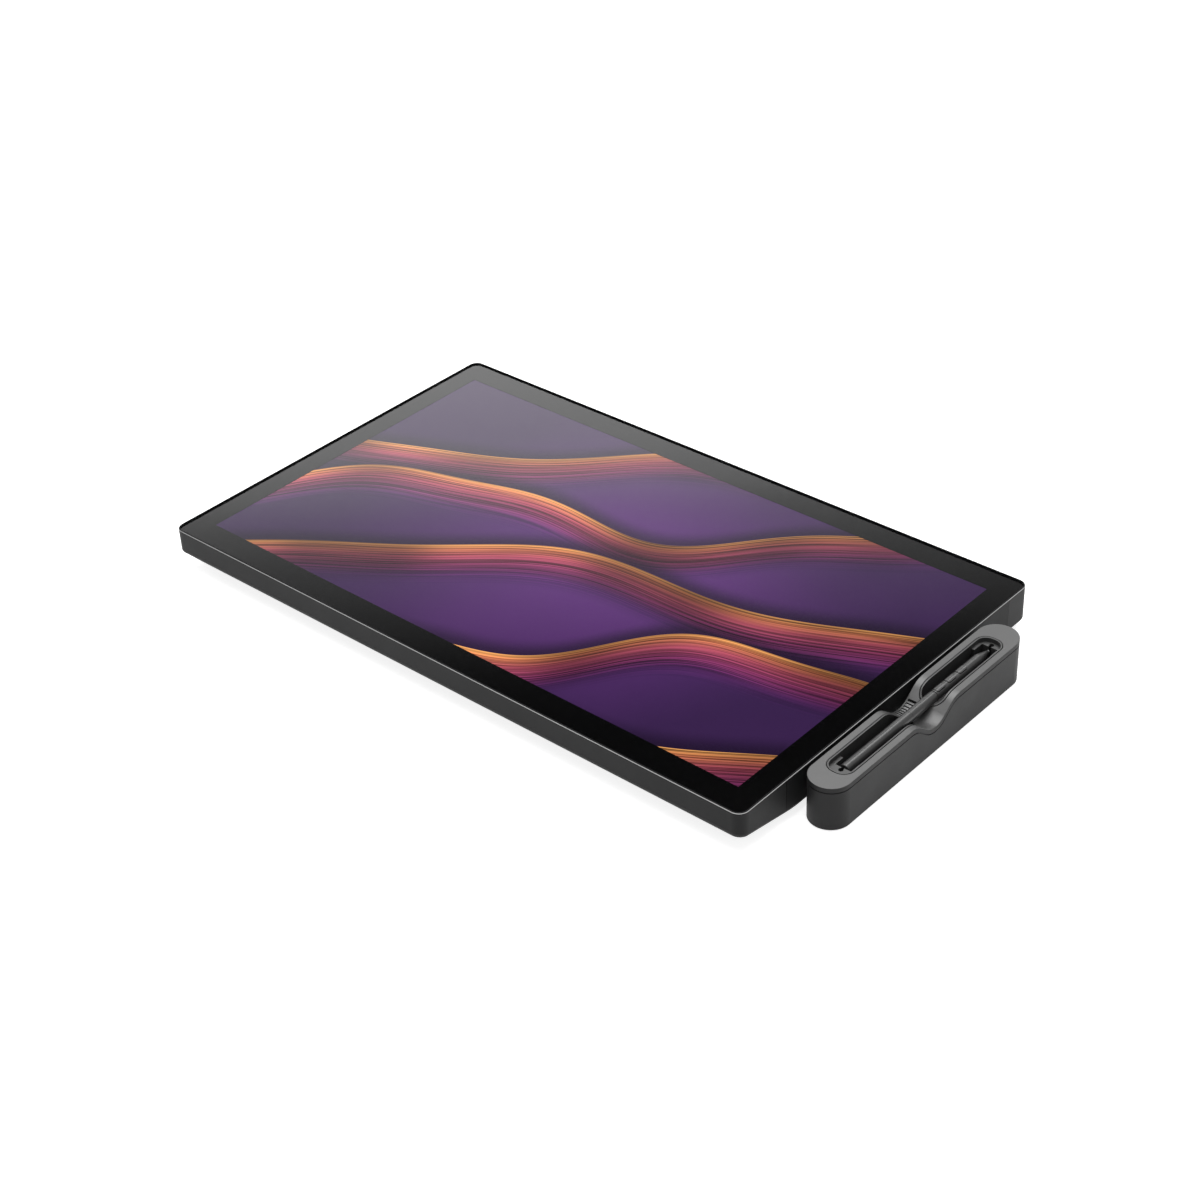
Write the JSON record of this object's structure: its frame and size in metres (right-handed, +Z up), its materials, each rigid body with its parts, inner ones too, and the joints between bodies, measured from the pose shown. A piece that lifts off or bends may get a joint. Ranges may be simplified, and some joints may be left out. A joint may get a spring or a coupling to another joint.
{
  "type": "graphics tablet with screen",
  "caption": "Flat pen display with a glass front, a pivoting pen tray on its right side with cradles, spare nibs and a finger dip, and a pen with side switches.",
  "frame": {"origin": "on the desk, under the middle of the outline seen from above", "axes": "+X to the user's right, +Y away from the user, +Z up"},
  "size_m": [0.5466, 0.3126, 0.033],
  "materials": {
    "graphite_plastic": "satin, fine texture",
    "graphite_metal": "dark anodised, satin",
    "cover_glass": "etched, low gloss",
    "black_print": "black print",
    "screen_picture": "lit picture",
    "diffuser": "white sheet",
    "circuit_board": "solder mask",
    "sheet_metal": "pressed sheet",
    "bright_metal": "plated",
    "black_steel": "blackened",
    "black_plastic": "moulded",
    "flex_film": "amber film",
    "black_rubber": "matt",
    "tray_grey": "bead blasted, satin",
    "pen_plastic": "soft satin",
    "switch_plastic": "semi gloss",
    "nib_plastic": "plain",
    "copper": "enamelled copper winding"
  },
  "bodies": {
    "display": {"side_frame": "graphite_metal", "rear_cover": "graphite_plastic", "left_side_cover": "graphite_plastic", "right_side_cover": "graphite_plastic", "cover_glass": "cover_glass", "bezel_mask": "black_print", "glass_tape": "black_print", "lcd_panel": "screen_picture", "backlight_unit": "diffuser", "led_bar": "circuit_board", "pen_sensor_board": "circuit_board", "inner_chassis": "sheet_metal", "display_ribbon": "flex_film", "main_board": "circuit_board", "power_board": "circuit_board", "port_board": "circuit_board", "video_socket": "bright_metal", "display_socket": "bright_metal", "data_socket": "bright_metal", "power_socket": "black_plastic", "fan_housing": "black_plastic", "heat_sink": "sheet_metal", "wall_mount_plate": "sheet_metal", "rubber_feet": "black_rubber", "small_screws": "bright_metal", "rear_screws": "black_steel", "mount_rails": "sheet_metal", "tray_bracket": "sheet_metal", "bracket_screws": "bright_metal", "tray_pivot": "bright_metal", "switch_boards": "circuit_board"},
    "fan": {"fan_rotor": "black_plastic"},
    "power_key": {"power_button": "graphite_plastic"},
    "touch_slider": {"touch_switch": "graphite_plastic"},
    "tray": {"tray_shell": "graphite_plastic", "tray_cap": "tray_grey", "tray_liner": "black_plastic", "pen_cradles": "black_plastic", "spare_nibs": "nib_plastic", "tray_screws": "black_steel", "tray_base_pad": "black_rubber"},
    "pen": {"pen_tail_cap": "pen_plastic", "pen_barrel_rear": "pen_plastic", "pen_barrel_front": "pen_plastic", "pen_nose": "pen_plastic", "pen_circuit": "circuit_board", "pen_coil": "copper", "pen_pressure_sensor": "black_plastic"},
    "nib": {"pen_nib": "nib_plastic"},
    "side_switch_rear": {"pen_switch_rear": "switch_plastic"},
    "side_switch_middle": {"pen_switch_middle": "switch_plastic"},
    "side_switch_front": {"pen_switch_front": "switch_plastic"},
    "key_1": {"rear_key_1": "graphite_plastic"},
    "key_2": {"rear_key_2": "graphite_plastic"},
    "key_3": {"rear_key_3": "graphite_plastic"},
    "key_4": {"rear_key_4": "graphite_plastic"},
    "key_5": {"rear_key_5": "graphite_plastic"},
    "key_6": {"rear_key_6": "graphite_plastic"},
    "key_7": {"rear_key_7": "graphite_plastic"},
    "key_8": {"rear_key_8": "graphite_plastic"}
  },
  "joints": [
    {"name": "tray_turn", "type": "hinge", "parent": "display", "child": "tray", "pos_m": [0.2445, -0.00035, 0.0126], "axis": [1, 0, 0], "range_deg": [-75, 75]},
    {"name": "pen_lift", "type": "slide", "parent": "tray", "child": "pen", "axis": [0, 0, 1], "range_m": [0, 0.08]},
    {"name": "nib_press", "type": "slide", "parent": "pen", "child": "nib", "axis": [0, -1, 0], "range_m": [0, 0.0003], "stiffness_N_per_m": 3000, "springref_m": -0.0002},
    {"name": "fan_spin", "type": "hinge", "parent": "display", "child": "fan", "pos_m": [0.1042, 0.05965, 0.019], "axis": [0, 0, 1], "continuous": true},
    {"name": "power_press", "type": "slide", "parent": "display", "child": "power_key", "axis": [0, -1, 0], "range_m": [0, 0.0005], "stiffness_N_per_m": 2000, "springref_m": -0.0005},
    {"name": "touch_slide", "type": "slide", "parent": "display", "child": "touch_slider", "axis": [1, 0, 0], "range_m": [0, 0.003]},
    {"name": "side_switch_rear_press", "type": "slide", "parent": "pen", "child": "side_switch_rear", "axis": [0, 0, -1], "range_m": [0, 0.00035], "stiffness_N_per_m": 1500, "springref_m": -0.00033},
    {"name": "side_switch_middle_press", "type": "slide", "parent": "pen", "child": "side_switch_middle", "axis": [0, 0, -1], "range_m": [0, 0.00035], "stiffness_N_per_m": 1500, "springref_m": -0.00033},
    {"name": "side_switch_front_press", "type": "slide", "parent": "pen", "child": "side_switch_front", "axis": [0, 0, -1], "range_m": [0, 0.00035], "stiffness_N_per_m": 1500, "springref_m": -0.00033},
    {"name": "key_1_press", "type": "slide", "parent": "display", "child": "key_1", "axis": [0, 0, 1], "range_m": [0, 0.0005], "stiffness_N_per_m": 1500, "springref_m": -0.00033},
    {"name": "key_2_press", "type": "slide", "parent": "display", "child": "key_2", "axis": [0, 0, 1], "range_m": [0, 0.0005], "stiffness_N_per_m": 1500, "springref_m": -0.00033},
    {"name": "key_3_press", "type": "slide", "parent": "display", "child": "key_3", "axis": [0, 0, 1], "range_m": [0, 0.0005], "stiffness_N_per_m": 1500, "springref_m": -0.00033},
    {"name": "key_4_press", "type": "slide", "parent": "display", "child": "key_4", "axis": [0, 0, 1], "range_m": [0, 0.0005], "stiffness_N_per_m": 1500, "springref_m": -0.00033},
    {"name": "key_5_press", "type": "slide", "parent": "display", "child": "key_5", "axis": [0, 0, 1], "range_m": [0, 0.0005], "stiffness_N_per_m": 1500, "springref_m": -0.00033},
    {"name": "key_6_press", "type": "slide", "parent": "display", "child": "key_6", "axis": [0, 0, 1], "range_m": [0, 0.0005], "stiffness_N_per_m": 1500, "springref_m": -0.00033},
    {"name": "key_7_press", "type": "slide", "parent": "display", "child": "key_7", "axis": [0, 0, 1], "range_m": [0, 0.0005], "stiffness_N_per_m": 1500, "springref_m": -0.00033},
    {"name": "key_8_press", "type": "slide", "parent": "display", "child": "key_8", "axis": [0, 0, 1], "range_m": [0, 0.0005], "stiffness_N_per_m": 1500, "springref_m": -0.00033}
  ]
}
